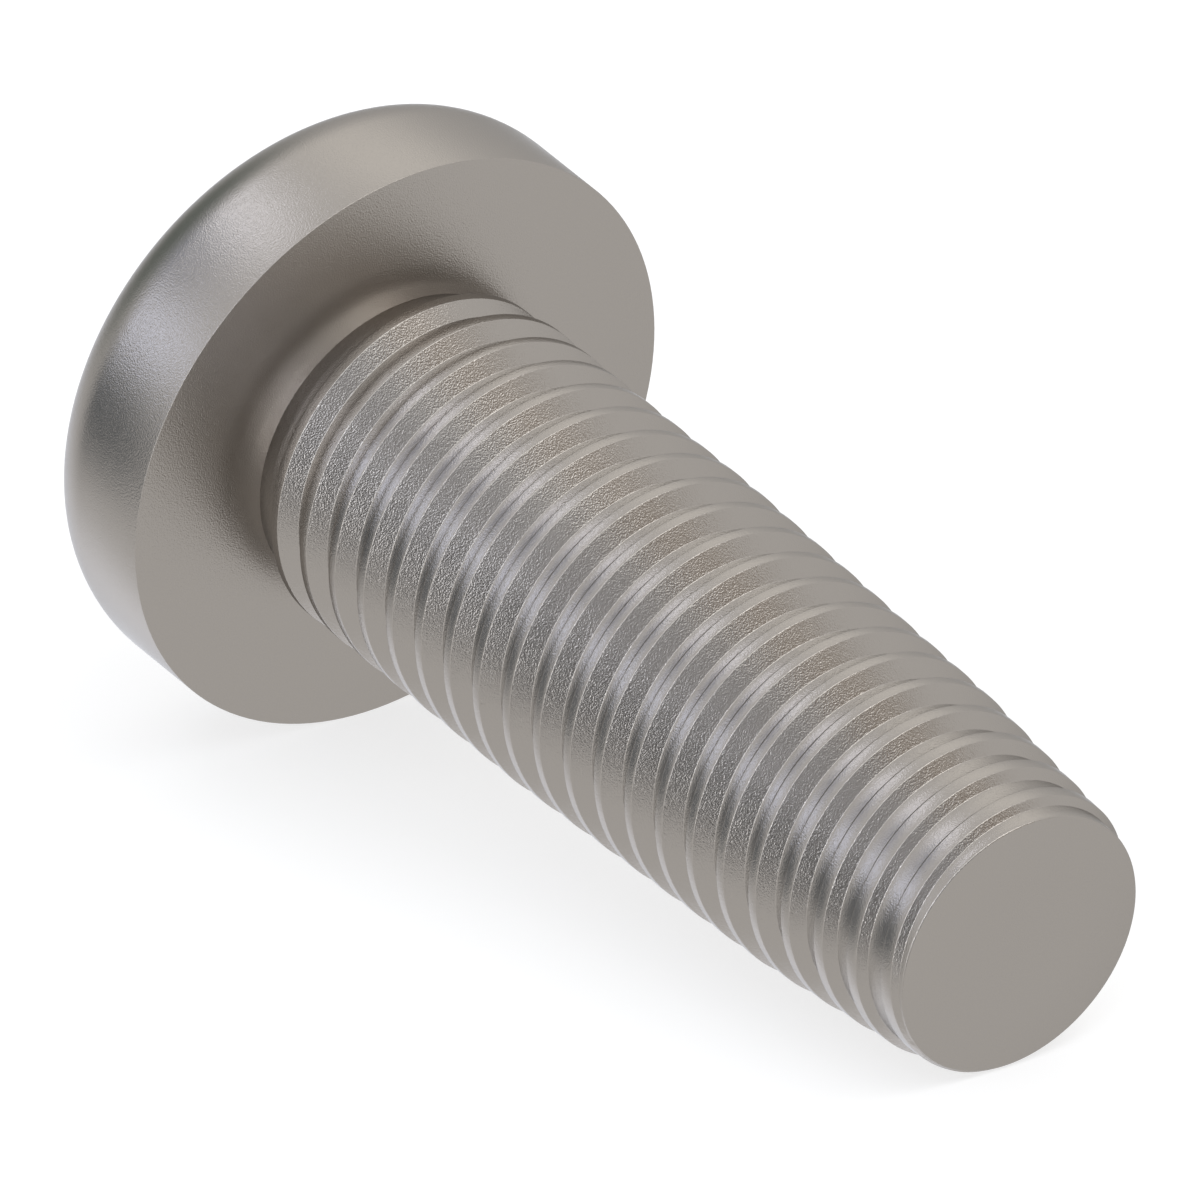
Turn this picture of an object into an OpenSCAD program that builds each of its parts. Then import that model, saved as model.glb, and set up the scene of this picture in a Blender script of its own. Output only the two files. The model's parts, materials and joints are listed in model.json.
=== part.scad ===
// Pan head self-tapping screw in one piece, with a fine right-hand thread and a flat-ended point.
// The screw is drawn on its axis, bearing face at z = 0 and point upwards, and is then laid down
// on what it rests on: the rim of its head and the thread near its point.

/* [Head] */
// Diameter of the head
head_d = 9.93; // [7.5:0.01:13]
// Height of the straight rim, from the bearing face
rim_h = 1.47; // [0.8:0.01:2.2]
// Radius that rounds the rim into the crown
edge_r = 1.28; // [0.8:0.01:1.8]
// Rise of the domed crown above the rounded edge
crown_rise = 0.45; // [0.2:0.01:0.9]

/* [Drive recess] */
// Width across the cross recess, at the crown
recess_w = 5; // [4:0.1:6]
// Depth of the recess, below the top of the crown
recess_depth = 2.2; // [1.6:0.05:2.6]
// Thickness of a wing of the cross, at the crown
wing_t = 1.4; // [1:0.05:1.7]
// Draft of the wings' sides
wing_draft = 6; // [3:0.5:9]
// Slope of the wings' outer ends
wing_end_slope = 26.5; // [15:0.5:30]
// Slope of the conical floor
floor_slope = 20; // [5:1:30]

/* [Shank] */
// Length from the bearing face to the flat end
length = 16.1; // [13:0.05:25]
// Diameter of the plain neck, where it meets the head
neck_d = 5.2; // [4.8:0.01:5.3]
// Length over which the neck widens to the root of the thread
neck_len = 0.3; // [0.1:0.05:0.8]
// Length of the whole taper, from the flat end back
taper_len = 9.9; // [6:0.1:12]
// Length of the steeper point, from the flat end back
point_len = 3.75; // [2:0.05:5]
// Diameter over the thread where the steeper point begins
waist_d = 5.36; // [5.1:0.01:5.8]
// Diameter of the flat end
tip_d = 4.45; // [3.8:0.01:4.8]

/* [Thread] */
// Diameter over the thread
thread_d = 5.82; // [5.6:0.01:6.4]
// Height of the thread
thread_h = 0.25; // [0.15:0.01:0.32]
// Advance of the thread in one turn
pitch = 0.75; // [0.7:0.01:1.2]
// Width of the flat crest
crest_w = 0.166; // [0.08:0.002:0.22]
// Angle between the two flanks
flank_angle = 80; // [50:1:84]
// Height of the thread that is left at the flat end
tip_thread_h = 0.095; // [0.04:0.005:0.14]
// Height above the bearing face at which the thread begins
thread_start = 0.228; // [0.2:0.002:0.6]
// Turns over which the thread rises out of the neck
run_in = 0.55; // [0.3:0.05:1]
// Turns over which the thread fades into the point
run_out = 0.3; // [0.1:0.05:0.8]

/* [Hidden] */
$fn = 96;
head_r = head_d / 2;
head_h = rim_h + edge_r + crown_rise;
edge_x = head_r - edge_r; // centre line of the rounded edge
crown_up = head_h - rim_h;
crown_r = (edge_x ^ 2 + crown_up ^ 2 - edge_r ^ 2) / (2 * crown_rise); // meets the edge in one tangent
overlap = 0.3; // how far the shank's stock and the recess's cutters run past the faces they cross
steps = 48; // columns of points round the thread
end_land = 0.1; // plain length kept between the thread's last turn and the flat end
crest_growth = 1 / 3; // share of the flanks' lost width that the crest gains towards the point
turns = floor((length - end_land - thread_start) / pitch);
flank_run = tan(flank_angle / 2); // axial width of a flank for each millimetre of its height
column_size = 4 * turns + 2;
rest_edge = ridge_section(turns - 1)[2]; // edge of the last full crest, straight below the axis
lie_angle = atan((head_r - rest_edge[0]) / rest_edge[1]);
tip_x = length * cos(lie_angle) + tip_d / 2 * sin(lie_angle);
crown_x = (crown_r - head_h) * cos(lie_angle) - crown_r;

function between(a, b, share) = a + (b - a) * min(1, max(0, share));

// Share of the slow taper, and of the steeper point, that lies below height z
function taper_share(z) = (z - length + taper_len) / (taper_len - point_len);
function point_share(z) = (z - length + point_len) / point_len;

// Radius over the crests at height z
function crest_r(z) =
    z < length - point_len
    ? between(thread_d / 2, waist_d / 2, taper_share(z))
    : between(waist_d / 2, tip_d / 2 + tip_thread_h, point_share(z));

// Radius of the neck, and of the root between the turns, at height z
function root_r(z) =
    z < neck_len ? between(neck_d / 2, thread_d / 2 - thread_h, z / neck_len)
    : z < length - point_len ? crest_r(z) - thread_h
    : between(waist_d / 2 - thread_h, tip_d / 2, point_share(z));

// Share of its full height that the ridge has after this many turns
function ridge_share(turn) = between(0, 1, min(turn / run_in, (turns - turn) / run_out));

// Section of the ridge after this many turns, as [radius, height]: root, crest, crest, root
function ridge_section(turn) =
    let (
        z = thread_start + pitch * turn,
        full = min(thread_h, crest_r(z) - root_r(z)),
        flank_w = full * flank_run,
        half_crest = crest_w / 2 + (thread_h - full) * flank_run * crest_growth,
        rise = full * ridge_share(turn)
    )
    [
        for (dz = [-half_crest - flank_w, -half_crest, half_crest, half_crest + flank_w])
            [root_r(z + dz) + (abs(dz) > half_crest ? 0 : rise), z + dz]
    ];

// Outline of the shank at one angle, from inside the head to the flat end
function shank_column(i) =
    concat(
        [[neck_d / 2, -overlap]],
        [for (k = [0 : turns - 1]) each ridge_section(k + i / steps)],
        [[tip_d / 2, length]]
    );

// Two triangles between four points, given clockwise as seen from outside
function quad(a, b, c, d) = [[a, b, c], [a, c, d]];

module head_profile() {
    tangent = [edge_x, rim_h + crown_r - head_h] * crown_r / (crown_r - edge_r);
    square([head_r, rim_h]);
    translate([edge_x, rim_h]) circle(edge_r);
    intersection() {
        translate([0, head_h - crown_r]) circle(crown_r, $fn = 360);
        polygon([
            [0, 0],
            [edge_x, 0],
            [edge_x, rim_h],
            tangent + [0, head_h - crown_r],
            [tangent[0], head_h + overlap],
            [0, head_h + overlap]
        ]);
    }
}

// A wing of the cross, narrowing downwards from the crown
module recess_wing(bottom_w, bottom_t) {
    linear_extrude(height = recess_depth, scale = [bottom_w / recess_w, bottom_t / wing_t], slices = 1)
        square([recess_w, wing_t], center = true);
    translate([-recess_w / 2, -wing_t / 2, -overlap]) cube([recess_w, wing_t, overlap]);
}

module cross_recess() {
    bottom_w = recess_w - 2 * recess_depth * tan(wing_end_slope);
    bottom_t = wing_t - 2 * recess_depth * tan(wing_draft);
    core_r = bottom_w / 2;
    for (turn = [0, 90])
        rotate([0, 0, turn]) recess_wing(bottom_w, bottom_t);
    cylinder(r1 = core_r + recess_depth * tan(wing_draft), r2 = core_r, h = recess_depth);
    translate([0, 0, recess_depth]) cylinder(r1 = core_r, r2 = 0, h = core_r * tan(floor_slope));
}

module head() {
    mirror([0, 0, 1])
        difference() {
            rotate_extrude() head_profile();
            translate([0, 0, head_h]) mirror([0, 0, 1]) cross_recess();
        }
}

// The neck, the threaded shank and the point, as columns of points joined round the axis.
// A turn later the ridge is one pitch higher, so the last column meets the first one four points up.
module shank() {
    points = [
        for (i = [0 : steps - 1], p = shank_column(i))
            let (angle = 360 * i / steps)
            [p[0] * cos(angle), p[0] * sin(angle), p[1]]
    ];
    last = (steps - 1) * column_size;
    top = column_size - 1;
    sides = [
        for (i = [0 : steps - 2], j = [0 : top - 1])
            let (a = i * column_size + j, b = a + column_size)
            each quad(a, a + 1, b + 1, b)
    ];
    seam = [
        for (j = [1 : top - 6])
            each quad(last + j, last + j + 1, j + 5, j + 4)
    ];
    start_fan = concat(
        [for (j = [0 : 4]) [last, j + 1, j]],
        [[last, last + 1, 5]]
    );
    end_fan = concat(
        [for (j = [top - 5 : top - 1]) [top, last + j, last + j + 1]],
        [[top, top - 1, last + top - 5]]
    );
    caps = [
        [for (i = [0 : steps - 1]) i * column_size],
        [for (i = [steps - 1 : -1 : 0]) i * column_size + top]
    ];
    polyhedron(points, concat(sides, seam, start_fan, end_fan, caps));
}

module screw() {
    color("silver")
        translate([-(tip_x + crown_x) / 2, 0, head_r * cos(lie_angle)])
        rotate([0, 90 + lie_angle, 0])
        union() {
            head();
            shank();
        }
}

screw();
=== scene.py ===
# Pan head self-tapping screw in satin steel, lying on a plain floor.
import json
import math

import bmesh
import bpy
from mathutils import Matrix, Vector


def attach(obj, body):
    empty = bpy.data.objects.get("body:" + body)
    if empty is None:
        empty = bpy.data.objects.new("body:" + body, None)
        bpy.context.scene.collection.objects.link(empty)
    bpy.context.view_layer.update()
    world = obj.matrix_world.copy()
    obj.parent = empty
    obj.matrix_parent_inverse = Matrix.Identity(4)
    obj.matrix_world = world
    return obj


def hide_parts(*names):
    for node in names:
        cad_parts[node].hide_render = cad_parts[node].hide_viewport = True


mm = 0.001

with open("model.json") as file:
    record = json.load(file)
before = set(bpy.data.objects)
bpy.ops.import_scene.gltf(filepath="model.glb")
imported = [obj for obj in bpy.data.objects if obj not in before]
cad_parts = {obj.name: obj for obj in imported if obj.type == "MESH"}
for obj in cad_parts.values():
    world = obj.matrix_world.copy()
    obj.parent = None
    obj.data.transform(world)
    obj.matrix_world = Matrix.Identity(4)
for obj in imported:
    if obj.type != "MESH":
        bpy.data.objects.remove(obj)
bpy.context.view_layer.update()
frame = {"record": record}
rim = next(mount for mount in frame["record"]["mounts"] if mount["name"] == "head_rim")
screwAxis = Vector(rim["axis"]).normalized()  # from the head towards the point
rimRadius = rim["dims"]["r_mm"] * mm
rimLength = rim["dims"]["length_mm"] * mm
bearingCentre = Vector(rim["pos_m"]) + screwAxis * rimLength / 2
columns = 144  # points round the axis, the same on the head and on the shank so that they meet


# The camera and the light. Each place is given by the way to it from the screw, as azimuth and elevation

cameraView = {
    "towards": (53.07, 24.52),
    "distance": 0.772,
    "lens": 1500,  # so long that it shows no perspective, as in the photo
    "clip": (0.01, 10),
    "right": 3.15 * mm,  # the middle of the picture, seen from the middle of the bearing face
    "down": 2.44 * mm,
}


def directionOf(azimuth, elevation):
    a, e = math.radians(azimuth), math.radians(elevation)
    return Vector((math.sin(a) * math.cos(e), -math.cos(a) * math.cos(e), math.sin(e)))


def addCamera():
    back = directionOf(*cameraView["towards"])
    turn = (-back).to_track_quat("-Z", "Y")
    aim = bearingCentre + turn @ Vector((cameraView["right"], -cameraView["down"], 0))
    camera = bpy.data.objects.new("camera", bpy.data.cameras.new("camera"))
    camera.data.lens = cameraView["lens"]
    camera.data.clip_start, camera.data.clip_end = cameraView["clip"]
    camera.location = aim + back * cameraView["distance"]
    camera.rotation_mode = "QUATERNION"
    camera.rotation_quaternion = turn
    bpy.context.scene.collection.objects.link(camera)
    bpy.context.scene.camera = camera


# Two softboxes, which draw the bright bands along the rim and the thread
softboxes = {
    "leftSoftbox": {
        "towards": (-38, 22),
        "size": (0.13, 0.13),
        "power": 0.08,
        "color": (0.6, 0.7, 1),
    },
    "topSoftbox": {
        "towards": (-66, 56),
        "size": (0.18, 0.11),
        "power": 0.1,
        "color": (0.82, 0.86, 1),
    },
}
softboxDistance = 0.45
# The surroundings that the steel mirrors: an even pale level, with soft darker and brighter patches
surroundings = {
    "level": (0.83, 0.83, 0.83),
    "dimmest": (0.05, 0.05, 0.05),
    "patches": {
        "leftHorizon": {"towards": (-44, -5), "radius": 9, "edge": 13, "light": (-0.74, -0.72, -0.7)},
        "behindHead": {"towards": (-88, 19), "radius": 9, "edge": 21, "light": (-0.64, -0.6, -0.62)},
        "belowHead": {"towards": (-112, -45), "radius": 22, "edge": 22, "light": (0.8, 0.86, 1.0)},
        "overHead": {"towards": (-135, 50), "radius": 10, "edge": 12, "light": (0.36, 0.35, 0.32)},
        "softboxGap": {"towards": (-56, 39), "radius": 5, "edge": 9, "light": (-0.5, -0.45, -0.3)},
        "besidePoint": {"towards": (40, -10), "radius": 12, "edge": 16, "light": (-0.88, -0.88, -0.86)},
        "abovePoint": {"towards": (70, 26), "radius": 14, "edge": 20, "light": (-0.5, -0.5, -0.48)},
        "rightOfPoint": {"towards": (112, 33), "radius": 10, "edge": 12, "light": (-0.48, -0.54, -0.6)},
        "cameraFoot": {"towards": (22, -12), "radius": 6, "edge": 8, "light": (1.85, 1.9, 1.95)},
        "cameraLow": {"towards": (25, 1), "radius": 5, "edge": 7, "light": (3.0, 3.15, 3.4)},
        "cameraLeft": {"towards": (32, 22), "radius": 7, "edge": 5, "light": (3.8, 4.1, 4.7)},
        "cameraHigh": {"towards": (49, 44), "radius": 6, "edge": 7, "light": (1.9, 2.05, 2.2)},
        "overPoint": {"towards": (80, 56), "radius": 8, "edge": 8, "light": (1.95, 2.05, 2.1)},
        "overRight": {"towards": (122, 60), "radius": 8, "edge": 8, "light": (2.2, 2.2, 2.2)},
    },
}
floor = {
    "radius": 0.04,
    "color": (0.4, 0.4, 0.4, 1),
    "lift": 0.69,  # seen by the camera alone, so that the floor is white beside the screw's shadow
}


def addSoftbox(name, box):
    light = bpy.data.lights.new(name, "AREA")
    light.shape = "RECTANGLE"
    light.size, light.size_y = box["size"]
    light.energy = box["power"]
    light.color = box["color"]
    lamp = bpy.data.objects.new(name, light)
    towards = directionOf(*box["towards"])
    lamp.location = towards * softboxDistance
    lamp.rotation_mode = "QUATERNION"
    lamp.rotation_quaternion = (-towards).to_track_quat("-Z", "Y")
    bpy.context.scene.collection.objects.link(lamp)


def addWorld():
    world = bpy.data.worlds.new("studio")
    bpy.context.scene.world = world
    world.use_nodes = True
    nodes, links = world.node_tree.nodes, world.node_tree.links
    nodes.clear()
    direction = nodes.new("ShaderNodeTexCoord").outputs["Generated"]
    total = None
    for patch in surroundings["patches"].values():
        across = nodes.new("ShaderNodeVectorMath")
        across.operation = "DOT_PRODUCT"
        across.inputs[1].default_value = directionOf(*patch["towards"])
        share = nodes.new("ShaderNodeMapRange")
        share.interpolation_type = "SMOOTHSTEP"
        share.inputs["From Min"].default_value = math.cos(math.radians(patch["radius"] + patch["edge"]))
        share.inputs["From Max"].default_value = math.cos(math.radians(patch["radius"]))
        add = nodes.new("ShaderNodeVectorMath")
        add.operation = "MULTIPLY_ADD"
        add.inputs[1].default_value = patch["light"]
        add.inputs[2].default_value = surroundings["level"]
        links.new(direction, across.inputs[0])
        links.new(across.outputs["Value"], share.inputs["Value"])
        links.new(share.outputs["Result"], add.inputs[0])
        if total:
            links.new(total, add.inputs[2])
        total = add.outputs[0]
    dimmest = nodes.new("ShaderNodeVectorMath")
    dimmest.operation = "MAXIMUM"
    dimmest.inputs[1].default_value = surroundings["dimmest"]
    studio = nodes.new("ShaderNodeBackground")
    links.new(total, dimmest.inputs[0])
    links.new(dimmest.outputs[0], studio.inputs["Color"])
    white = nodes.new("ShaderNodeBackground")
    white.inputs["Color"].default_value = (1, 1, 1, 1)
    mix = nodes.new("ShaderNodeMixShader")
    links.new(nodes.new("ShaderNodeLightPath").outputs["Is Camera Ray"], mix.inputs[0])
    links.new(studio.outputs[0], mix.inputs[1])
    links.new(white.outputs[0], mix.inputs[2])
    links.new(mix.outputs[0], nodes.new("ShaderNodeOutputWorld").inputs["Surface"])


def floorMaterial():
    material = bpy.data.materials.new("paleFloor")
    material.use_nodes = True
    nodes, links = material.node_tree.nodes, material.node_tree.links
    nodes.clear()
    rays = nodes.new("ShaderNodeLightPath")
    matte = nodes.new("ShaderNodeBsdfDiffuse")
    matte.inputs["Color"].default_value = floor["color"]
    glow = nodes.new("ShaderNodeEmission")
    lift = nodes.new("ShaderNodeMath")
    lift.operation = "MULTIPLY"
    lift.inputs[1].default_value = floor["lift"]
    add = nodes.new("ShaderNodeAddShader")
    links.new(rays.outputs["Is Camera Ray"], lift.inputs[0])
    links.new(lift.outputs[0], glow.inputs["Strength"])
    links.new(matte.outputs[0], add.inputs[0])
    links.new(glow.outputs[0], add.inputs[1])
    links.new(add.outputs[0], nodes.new("ShaderNodeOutputMaterial").inputs["Surface"])
    return material


def addFloor():
    mesh = bpy.data.meshes.new("floor")
    mesh.from_pydata(circleRing(floor["radius"], 0), [], [range(columns)])
    mesh.materials.append(floorMaterial())
    sheet = bpy.data.objects.new("floor", mesh)
    bpy.context.scene.collection.objects.link(sheet)
    sheet.visible_glossy = False


# The steel

steel = {
    "color": (0.42, 0.39, 0.36, 1),
    "edgeTint": (0.6, 0.6, 0.6, 1),  # of the reflection at a grazing angle
    "roughness": 0.283,
    "roughnessSpread": 0.007,
    "blotchSize": 0.9 * mm,  # of the soft change in roughness
    "blotchDetail": 3,
    "grainSize": 0.026 * mm,
    "grainDetail": 1,
    "grainHeight": 0.0052 * mm,
}


def steelMaterial():
    material = bpy.data.materials.new("satinSteel")
    material.use_nodes = True
    nodes, links = material.node_tree.nodes, material.node_tree.links
    shader = nodes["Principled BSDF"]
    shader.inputs["Base Color"].default_value = steel["color"]
    shader.inputs["Metallic"].default_value = 1
    shader.inputs["Specular Tint"].default_value = steel["edgeTint"]
    place = nodes.new("ShaderNodeTexCoord")
    blotch = nodes.new("ShaderNodeTexNoise")
    blotch.inputs["Scale"].default_value = 1 / steel["blotchSize"]
    blotch.inputs["Detail"].default_value = steel["blotchDetail"]
    rough = nodes.new("ShaderNodeMapRange")
    rough.inputs["To Min"].default_value = steel["roughness"] - steel["roughnessSpread"]
    rough.inputs["To Max"].default_value = steel["roughness"] + steel["roughnessSpread"]
    grain = nodes.new("ShaderNodeTexNoise")
    grain.inputs["Scale"].default_value = 1 / steel["grainSize"]
    grain.inputs["Detail"].default_value = steel["grainDetail"]
    bump = nodes.new("ShaderNodeBump")
    bump.inputs["Distance"].default_value = steel["grainHeight"]
    links.new(place.outputs["Object"], blotch.inputs["Vector"])
    links.new(place.outputs["Object"], grain.inputs["Vector"])
    links.new(blotch.outputs["Fac"], rough.inputs["Value"])
    links.new(rough.outputs["Result"], shader.inputs["Roughness"])
    links.new(grain.outputs["Fac"], bump.inputs["Height"])
    links.new(bump.outputs["Normal"], shader.inputs["Normal"])
    return material


# The shank: one pitch of the thread's outline, wound round the axis by Geometry Nodes

thread = {
    "Turns": 21,
    "Columns": columns,
    "Pitch": 0.75 * mm,
    "Start": 0.228 * mm,  # height of the first turn over the bearing face
    "Length": 16.1 * mm,
    "Thread Radius": 2.91 * mm,
    "Thread Height": 0.25 * mm,
    "Crest Width": 0.166 * mm,
    "Flank Slope": math.tan(math.radians(40)),  # axial width of a flank for its height
    "Crest Growth": 1 / 3,  # share of the flanks' lost width that the crest gains at the point
    "Neck Radius": 2.6 * mm,
    "Neck Length": 0.3 * mm,
    "Taper Length": 9.9 * mm,
    "Point Length": 3.75 * mm,
    "Waist Radius": 2.68 * mm,
    "End Radius": 2.225 * mm,
    "End Thread Height": 0.095 * mm,
    "End Corner": 0.03 * mm,  # left for the broken corner of the flat end
    "Run-in": 0.55,  # in turns
    "Run-out": 0.3,
    "Edge Radius": 0.02 * mm,
}
shares = ("pitchShare", "crestShare", "flankShare", "heightShare", "alongEdge", "upEdge")
arcSteps = 2  # flats on each rounded edge of the thread
seamGap = 0.0002 * mm  # points of the strip this close are one


def threadSection():
    turn = math.pi / 2 - math.atan(thread["Flank Slope"])
    tangent = math.tan(turn / 2)
    half = []
    for i in range(arcSteps + 1):  # rounded edge between crest and flank
        angle = turn * i / arcSteps
        half.append((0, 1, 0, 1, math.sin(angle) - tangent, math.cos(angle) - 1))
    for i in range(arcSteps + 1):  # hollow between flank and root
        angle = turn * (1 - i / arcSteps)
        half.append((0, 1, 1, 0, tangent - math.sin(angle), 1 - math.cos(angle)))
    half.append((0.5, 0, 0, 0, 0, 0))
    mirrored = [(-p, -c, -f, h, -along, up) for p, c, f, h, along, up in reversed(half)]
    points = mirrored + half
    mesh = bpy.data.meshes.new("threadSection")
    mesh.from_pydata([(0, 0, 0)] * len(points), [], [])
    for name, values in zip(shares, zip(*points)):
        mesh.attributes.new(name, "FLOAT", "POINT").data.foreach_set("value", values)
    section = bpy.data.objects.new("threadSection", mesh)
    bpy.context.scene.collection.objects.link(section)
    return section


def socketKind(value):
    if isinstance(value, bpy.types.Object):
        return "NodeSocketObject"
    if isinstance(value, bpy.types.Material):
        return "NodeSocketMaterial"
    return "NodeSocketInt" if isinstance(value, int) else "NodeSocketFloat"


def threadTree(sizes):
    tree = bpy.data.node_groups.new("windThread", "GeometryNodeTree")
    tree.interface.new_socket("Geometry", in_out="OUTPUT", socket_type="NodeSocketGeometry")
    for name, value in sizes.items():
        tree.interface.new_socket(name, in_out="INPUT", socket_type=socketKind(value))
    given = tree.nodes.new("NodeGroupInput").outputs

    def node(kind, inputs, **settings):
        made = tree.nodes.new(kind)
        for name, value in settings.items():
            setattr(made, name, value)
        for name, value in inputs.items():
            if isinstance(value, bpy.types.NodeSocket):
                tree.links.new(value, made.inputs[name])
            else:
                made.inputs[name].default_value = value
        return made

    def calc(operation, *values):
        return node("ShaderNodeMath", dict(enumerate(values)), operation=operation).outputs[0]

    def ramp(value, start, end, startValue, endValue):
        limits = {"From Min": start, "From Max": end, "To Min": startValue, "To Max": endValue}
        return node("ShaderNodeMapRange", {"Value": value, **limits}).outputs["Result"]

    section = node("GeometryNodeObjectInfo", {"Object": given["Section"]}).outputs["Geometry"]
    rows = node("GeometryNodeAttributeDomainSize", {"Geometry": section}).outputs["Point Count"]
    steps = calc("MULTIPLY", given["Columns"], calc("ADD", given["Turns"], 2))
    grid = node("GeometryNodeMeshGrid", {"Vertices X": calc("ADD", steps, 1), "Vertices Y": rows})
    index = node("GeometryNodeInputIndex", {}).outputs[0]
    row = calc("MODULO", index, rows)
    halfPast = calc("ADD", index, 0.5)  # so that no rounding error costs a column
    column = calc("FLOOR", calc("DIVIDE", halfPast, rows))
    share = {}
    for name in shares:
        kept = node("GeometryNodeInputNamedAttribute", {"Name": name}, data_type="FLOAT")
        wanted = {"Geometry": section, "Value": kept.outputs["Attribute"], "Index": row}
        sample = node("GeometryNodeSampleIndex", wanted)
        share[name] = sample.outputs["Value"]

    # The strip starts a turn early and ends a turn late, and is pressed onto the circles at its two ends
    turn = calc("SUBTRACT", calc("DIVIDE", column, given["Columns"]), 1)
    around = calc("DIVIDE", calc("MODULO", column, given["Columns"]), given["Columns"])
    angle = calc("MULTIPLY", around, math.tau)
    middle = calc("MULTIPLY_ADD", given["Pitch"], turn, given["Start"])
    taperStart = calc("SUBTRACT", given["Length"], given["Taper Length"])
    pointStart = calc("SUBTRACT", given["Length"], given["Point Length"])
    rootRadius = calc("SUBTRACT", given["Thread Radius"], given["Thread Height"])
    waistRoot = calc("SUBTRACT", given["Waist Radius"], given["Thread Height"])
    waistCut = calc("SUBTRACT", given["Waist Radius"], given["Thread Radius"])
    endRootCut = calc("SUBTRACT", given["End Radius"], waistRoot)
    endCrest = calc("ADD", given["End Radius"], given["End Thread Height"])
    endCrestCut = calc("SUBTRACT", endCrest, given["Waist Radius"])

    def radiusAt(height, straight, endCut):
        slowTaper = ramp(height, taperStart, pointStart, 0, waistCut)
        pointTaper = ramp(height, pointStart, given["Length"], 0, endCut)
        return calc("ADD", calc("ADD", straight, slowTaper), pointTaper)

    def rootAt(height):
        neck = ramp(height, 0, given["Neck Length"], given["Neck Radius"], rootRadius)
        return radiusAt(height, neck, endRootCut)

    crest = radiusAt(middle, given["Thread Radius"], endCrestCut)
    full = calc("MINIMUM", given["Thread Height"], calc("SUBTRACT", crest, rootAt(middle)))
    spare = calc("MULTIPLY", calc("SUBTRACT", given["Thread Height"], full), given["Flank Slope"])
    halfWidth = calc("DIVIDE", given["Crest Width"], 2)
    halfCrest = calc("MULTIPLY_ADD", spare, given["Crest Growth"], halfWidth)
    flankWidth = calc("MULTIPLY", full, given["Flank Slope"])
    runIn = calc("DIVIDE", turn, given["Run-in"])
    runOut = calc("DIVIDE", calc("SUBTRACT", given["Turns"], turn), given["Run-out"])
    ridge = calc("MAXIMUM", 0, calc("MINIMUM", 1, calc("MINIMUM", runIn, runOut)))

    along = calc("MULTIPLY", share["pitchShare"], given["Pitch"])
    along = calc("MULTIPLY_ADD", share["crestShare"], halfCrest, along)
    along = calc("MULTIPLY_ADD", share["flankShare"], flankWidth, along)
    along = calc("MULTIPLY_ADD", share["alongEdge"], given["Edge Radius"], along)
    stop = calc("SUBTRACT", given["Length"], given["End Corner"])
    height = calc("MINIMUM", stop, calc("MAXIMUM", 0, calc("ADD", middle, along)))
    rise = calc("MULTIPLY", share["heightShare"], full)
    rise = calc("MULTIPLY_ADD", share["upEdge"], given["Edge Radius"], rise)
    radius = calc("MULTIPLY_ADD", rise, ridge, rootAt(height))
    across = calc("MULTIPLY", radius, calc("COSINE", angle))
    sideways = calc("MULTIPLY", radius, calc("SINE", angle))
    place = node("ShaderNodeCombineXYZ", {"X": across, "Y": sideways, "Z": height}).outputs[0]

    strip = grid.outputs["Mesh"]
    wound = node("GeometryNodeSetPosition", {"Geometry": strip, "Position": place}).outputs[0]
    sealed = node("GeometryNodeMergeByDistance", {"Geometry": wound, "Distance": seamGap}).outputs[0]
    real = node("GeometryNodeRealizeInstances", {"Geometry": sealed}).outputs[0]
    shown = node("GeometryNodeSetMaterial", {"Geometry": real, "Material": given["Material"]})
    node("NodeGroupOutput", {"Geometry": shown.outputs[0]})
    return tree


def threadMesh(material):
    sizes = {"Section": threadSection(), "Material": material, **thread}
    carrier = bpy.data.objects.new("threadCarrier", bpy.data.meshes.new("threadCarrier"))
    bpy.context.scene.collection.objects.link(carrier)
    winder = carrier.modifiers.new("windThread", "NODES")
    winder.node_group = threadTree(sizes)
    for item in winder.node_group.interface.items_tree:
        if item.in_out == "INPUT":
            winder[item.identifier] = sizes[item.name]
    ready = carrier.evaluated_get(bpy.context.evaluated_depsgraph_get())
    mesh = bpy.data.meshes.new_from_object(ready)
    bpy.data.objects.remove(carrier)
    bpy.data.objects.remove(sizes["Section"])
    print("thread wound:", len(mesh.polygons), "faces")
    return mesh


# The head: rings of points that run from the neck over the rim and the crown into the recess

head = {
    "edgeRadius": 1.28 * mm,  # rounds the rim into the crown
    "crownRise": 0.45 * mm,
    "corner": 0.012 * mm,  # broken corner between the bearing face and the rim
    "cornerSteps": 3,
    "edgeSteps": 16,
    "crownSteps": 6,
}
recess = {
    "width": 5.0 * mm,
    "depth": 2.2 * mm,
    "wing": 1.4 * mm,
    "wingDraft": math.tan(math.radians(6)),
    "endSlope": math.tan(math.radians(26.5)),
    "floorSlope": math.tan(math.radians(20)),
    "octantSteps": columns // 8,  # an eighth of the outline, from the middle of a wing's end
    "endSteps": columns // 36,  # of them along the end
    "coreSteps": columns // 24,  # and round the core
    "lip": 0.07 * mm,  # rounding of the mouth
    "lipSteps": 3,
    "wallSteps": 6,
    "floorShares": (0.08, 0.3, 0.55, 0.8, 0.94),  # rings of the conical floor, on the way to its middle
    "softening": 3,  # passes that round the corners of the cross
    "mouthPasses": 3,  # passes that bring the mouth onto the crown
}
coreRadius = recess["width"] / 2 - recess["depth"] * recess["endSlope"]  # of the recess, at its floor
crownHeight = head["edgeRadius"] + head["crownRise"]
headHeight = rimLength + crownHeight
edgeCentre = rimRadius - head["edgeRadius"]
crownSquare = edgeCentre**2 + crownHeight**2 - head["edgeRadius"] ** 2
crownRadius = crownSquare / (2 * head["crownRise"])  # meets the rounded edge in one tangent
crownTangent = math.atan2(edgeCentre, rimLength - headHeight + crownRadius)


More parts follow.
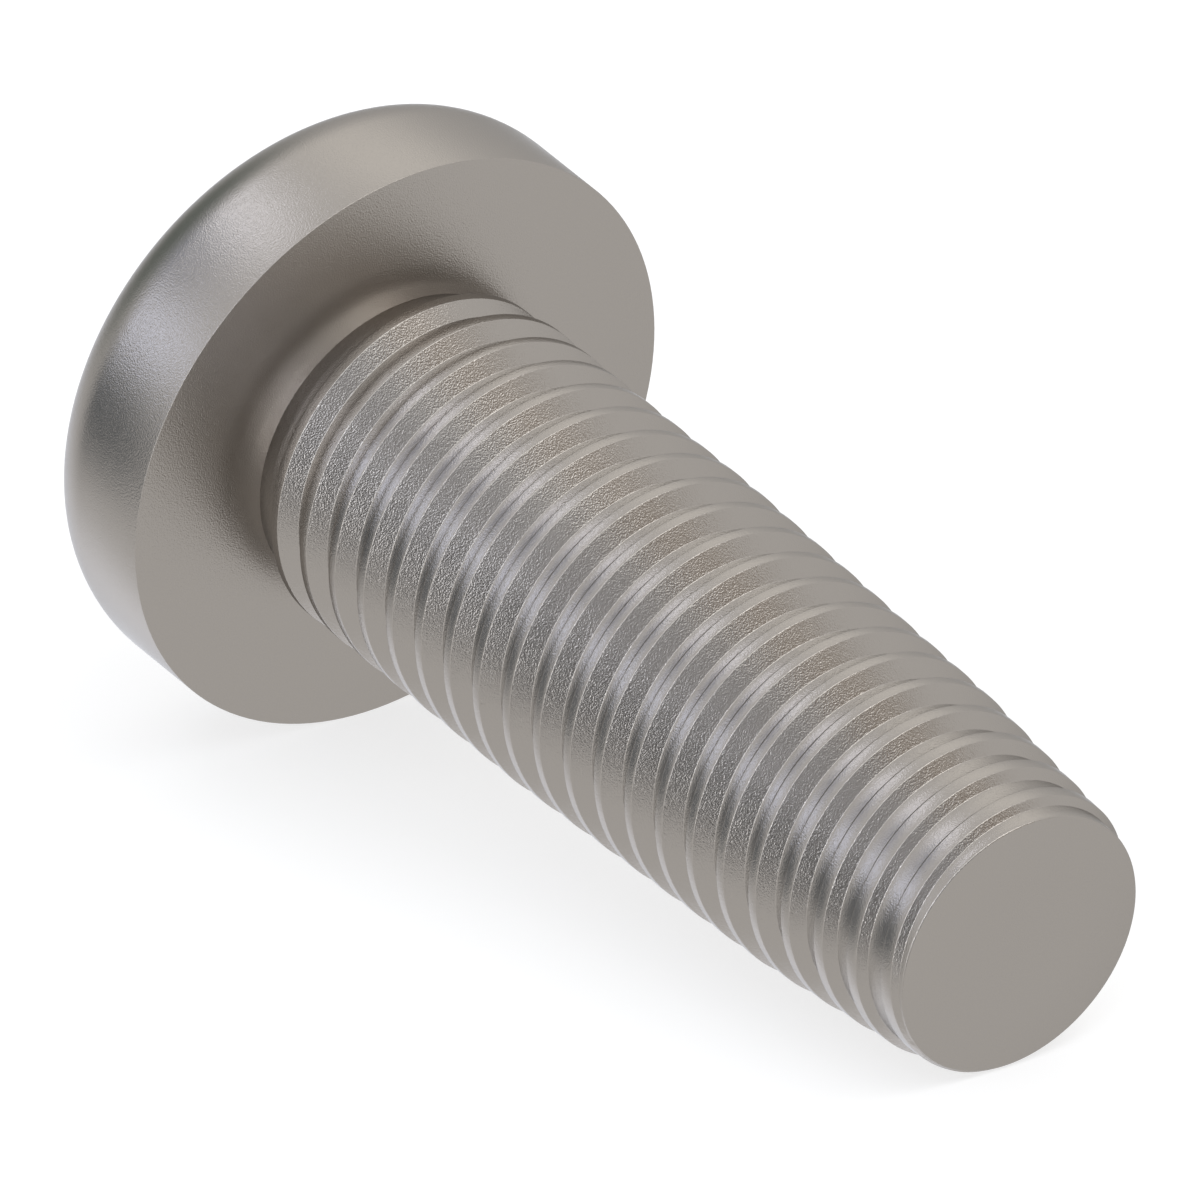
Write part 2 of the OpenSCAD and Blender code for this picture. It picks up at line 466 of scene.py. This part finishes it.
def circleRing(radius, height):
    angles = [math.tau * i / columns for i in range(columns)]
    return [Vector((radius * math.cos(a), radius * math.sin(a), height)) for a in angles]


def arcRings(centre, height, radius, start, end, steps):
    rings = []
    for i in range(1, steps + 1):
        angle = start + (end - start) * i / steps
        rings.append(circleRing(centre + radius * math.cos(angle), height + radius * math.sin(angle)))
    return rings


def crossOutline(depth, grow):
    reach = recess["width"] / 2 - depth * recess["endSlope"] + grow
    half = recess["wing"] / 2 - depth * recess["wingDraft"] + grow
    core = coreRadius + (recess["depth"] - depth) * recess["wingDraft"] + grow
    root = math.asin(half / core)
    endSteps, coreSteps = recess["endSteps"], recess["coreSteps"]
    sideSteps = recess["octantSteps"] - endSteps - coreSteps
    corner, inner = Vector((reach, half)), Vector((core * math.cos(root), half))
    octant = [Vector((reach, half * i / endSteps)) for i in range(endSteps)]
    octant += [corner.lerp(inner, i / sideSteps) for i in range(sideSteps)]
    for i in range(coreSteps + 1):
        angle = root + (math.pi / 4 - root) * i / coreSteps
        octant.append(Vector((core * math.cos(angle), core * math.sin(angle))))
    quarter = octant + [Vector((p.y, p.x)) for p in reversed(octant[1:-1])]
    outline = [Matrix.Rotation(k * math.pi / 2, 2) @ p for k in range(4) for p in quarter]
    for _ in range(recess["softening"]):
        later = outline[1:] + outline[:1]
        outline = [(outline[i - 1] + outline[i] * 2 + later[i]) / 4 for i in range(columns)]
    return outline


def recessRing(depths, grow=0.0):
    top, bottom = crossOutline(0, grow), crossOutline(recess["depth"], grow)
    ring = []
    for depth, high, low in zip(depths, top, bottom):
        point = high.lerp(low, depth / recess["depth"])
        ring.append(Vector((*point, depth - headHeight)))
    return ring


def crownDepth(point):
    return crownRadius - math.sqrt(crownRadius**2 - point.xy.length_squared)


def crownRings():
    start = circleRing(crownRadius * math.sin(crownTangent), 0)
    depths = [0.0] * columns
    for _ in range(recess["mouthPasses"]):  # the cross is narrower where the crown lies lower
        depths = [crownDepth(point) for point in recessRing(depths, recess["lip"])]
    mouth = recessRing(depths, recess["lip"])
    rings = []
    for i in range(1, head["crownSteps"]):
        ring = [a.lerp(b, i / head["crownSteps"]) for a, b in zip(start, mouth)]
        rings.append([Vector((*point.xy, crownDepth(point) - headHeight)) for point in ring])
    for i in range(recess["lipSteps"] + 1):
        angle = math.pi / 2 * i / recess["lipSteps"]
        down, grow = recess["lip"] * (1 - math.cos(angle)), recess["lip"] * (1 - math.sin(angle))
        rings.append(recessRing([depth + down for depth in depths], grow))
    lipDepths = [depth + recess["lip"] for depth in depths]
    for i in range(1, recess["wallSteps"] + 1):
        share = i / recess["wallSteps"]
        rings.append(recessRing([depth + (recess["depth"] - depth) * share for depth in lipDepths]))
    return rings


def headRings():
    rings = [circleRing(thread["Neck Radius"], 0), circleRing(rimRadius - head["corner"], 0)]
    corner = head["corner"]
    rings += arcRings(rimRadius - corner, -corner, corner, math.pi / 2, 0, head["cornerSteps"])
    rings.append(circleRing(rimRadius, -rimLength))
    edgeEnd = crownTangent - math.pi / 2
    rings += arcRings(edgeCentre, -rimLength, head["edgeRadius"], 0, edgeEnd, head["edgeSteps"])
    rings += crownRings()
    spokes = [point.xy.normalized() for point in rings[-1]]
    bottom = recess["depth"] - headHeight
    coneDepth = coreRadius * recess["floorSlope"]
    for share in recess["floorShares"]:
        radius, height = coreRadius * (1 - share), bottom + coneDepth * share
        rings.append([Vector((*spoke * radius, height)) for spoke in spokes])
    return rings, Vector((0, 0, bottom + coneDepth))


def endRings():
    corner, stop = thread["End Corner"], thread["Length"] - thread["End Corner"]
    waistRoot = thread["Waist Radius"] - thread["Thread Height"]
    slope = (waistRoot - thread["End Radius"]) / thread["Point Length"]
    rings = [circleRing(thread["End Radius"] + corner * slope, stop)]
    rings += arcRings(thread["End Radius"] - corner, stop, corner, 0, math.pi / 2, head["cornerSteps"])
    rings.append(circleRing(thread["End Radius"] / 2, thread["Length"]))
    return rings, Vector((0, 0, thread["Length"]))


def skin(form, rings, apex):
    rows = [[form.verts.new(point) for point in ring] for ring in rings]
    for one, other in zip(rows, rows[1:]):
        for i in range(columns):
            form.faces.new((one[i - 1], one[i], other[i], other[i - 1]))
    tip = form.verts.new(apex)
    for i in range(columns):
        form.faces.new((rows[-1][i - 1], rows[-1][i], tip))


joinGap = 0.001 * mm  # points of the head, the shank and the flat end this close are one
sharpAngle = math.radians(40)  # an edge that turns more than this shows sharp


def addScrew():
    material = steelMaterial()
    form = bmesh.new()
    form.from_mesh(threadMesh(material))
    skin(form, *headRings())
    skin(form, *endRings())
    bmesh.ops.remove_doubles(form, verts=form.verts, dist=joinGap)
    bmesh.ops.recalc_face_normals(form, faces=form.faces)
    openEdges = sum(not edge.is_manifold for edge in form.edges)
    down = Vector((0, 1, 0)).cross(screwAxis)
    placement = Matrix((down, (0, 1, 0), screwAxis)).transposed().to_4x4()
    placement.translation = bearingCentre
    form.transform(placement)
    mesh = bpy.data.meshes.new("panHeadScrew")
    form.to_mesh(mesh)
    form.free()
    mesh.materials.append(material)
    mesh.polygons.foreach_set("use_smooth", [True] * len(mesh.polygons))
    mesh.set_sharp_from_angle(angle=sharpAngle)
    screw = bpy.data.objects.new("panHeadScrew", mesh)
    bpy.context.scene.collection.objects.link(screw)
    evener = screw.modifiers.new("evenNormals", "WEIGHTED_NORMAL")
    evener.keep_sharp = True
    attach(screw, "root")
    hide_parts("screw")
    print("screw made:", len(mesh.polygons), "faces,", openEdges, "open edges")


bpy.context.scene.view_settings.view_transform = "Standard"
addCamera()
addWorld()
addFloor()
for name, box in softboxes.items():
    addSoftbox(name, box)
print("studio set up")
addScrew()
